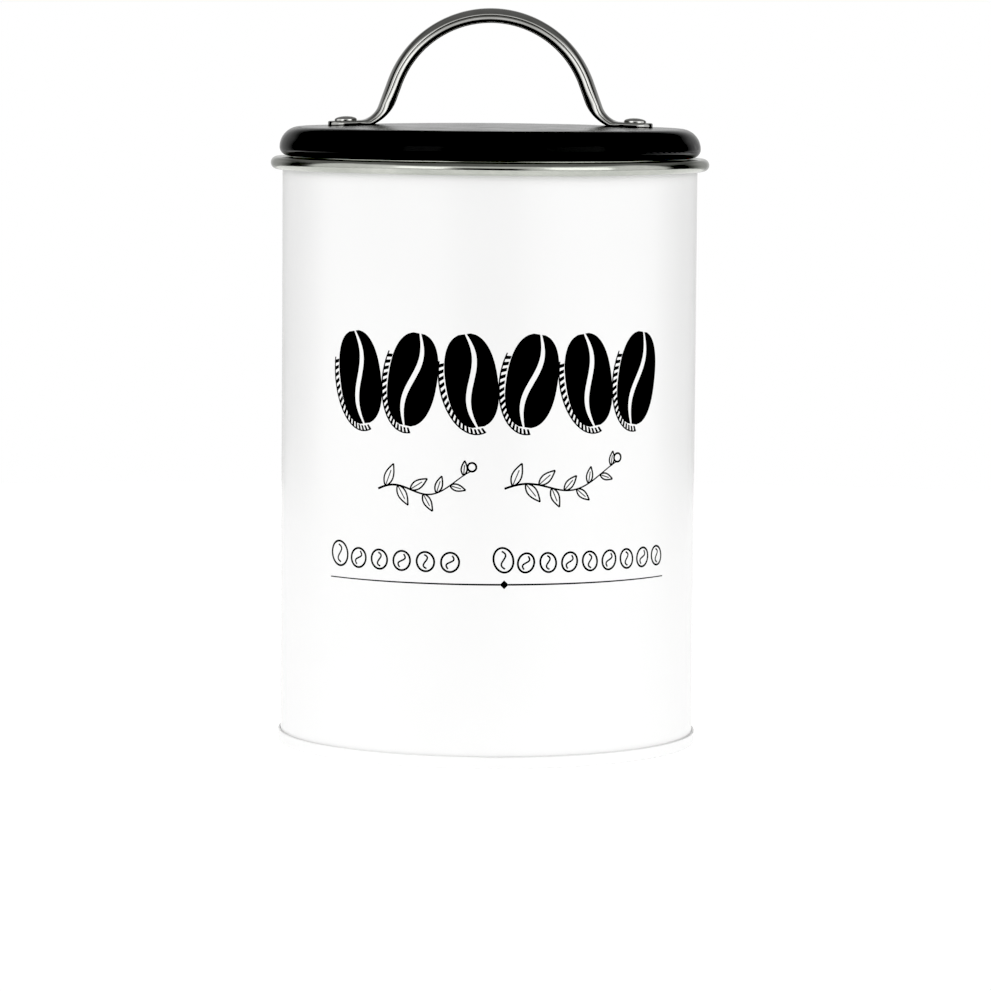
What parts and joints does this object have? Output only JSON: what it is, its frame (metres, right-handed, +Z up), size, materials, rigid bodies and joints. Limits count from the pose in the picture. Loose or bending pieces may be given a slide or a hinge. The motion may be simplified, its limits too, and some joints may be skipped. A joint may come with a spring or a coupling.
{
  "type": "lidded storage canister",
  "caption": "Round white enamelled steel canister with a rolled bright mouth ring and a black lift-off lid that carries a riveted strap handle.",
  "frame": {"origin": "middle of the base, on the surface that the canister stands on", "axes": "+Z up along the can's axis; the printed front faces -Y; the handle's arch lies in the X-Z plane; the welded side lap is at +Y"},
  "size_m": [0.1142, 0.1142, 0.1914],
  "materials": {
    "white_enamel": "gloss",
    "black_enamel": "gloss",
    "tinplate": "bright, soft satin",
    "polished_steel": "polished",
    "rivet_steel": "polished",
    "silicone": "matt, translucent white",
    "sealant": "matt"
  },
  "bodies": {
    "can": {"can_body": "white_enamel", "can_bottom": "white_enamel", "seam_sealant": "sealant", "mouth_ring": "tinplate"},
    "seal": {"lid_gasket": "silicone"},
    "lid": {"lid_cover": "black_enamel", "lid_plug": "tinplate", "handle": "polished_steel", "rivet_left": "rivet_steel", "rivet_right": "rivet_steel", "rivet_washer_left": "rivet_steel", "rivet_washer_right": "rivet_steel"}
  },
  "joints": [
    {"name": "lid_lift", "type": "slide", "parent": "can", "child": "seal", "axis": [0, 0, 1], "range_m": [0, 0.06]},
    {"name": "lid_turn", "type": "hinge", "parent": "seal", "child": "lid", "pos_m": [0, 0, 0.15], "axis": [0, 0, 1], "continuous": true}
  ]
}
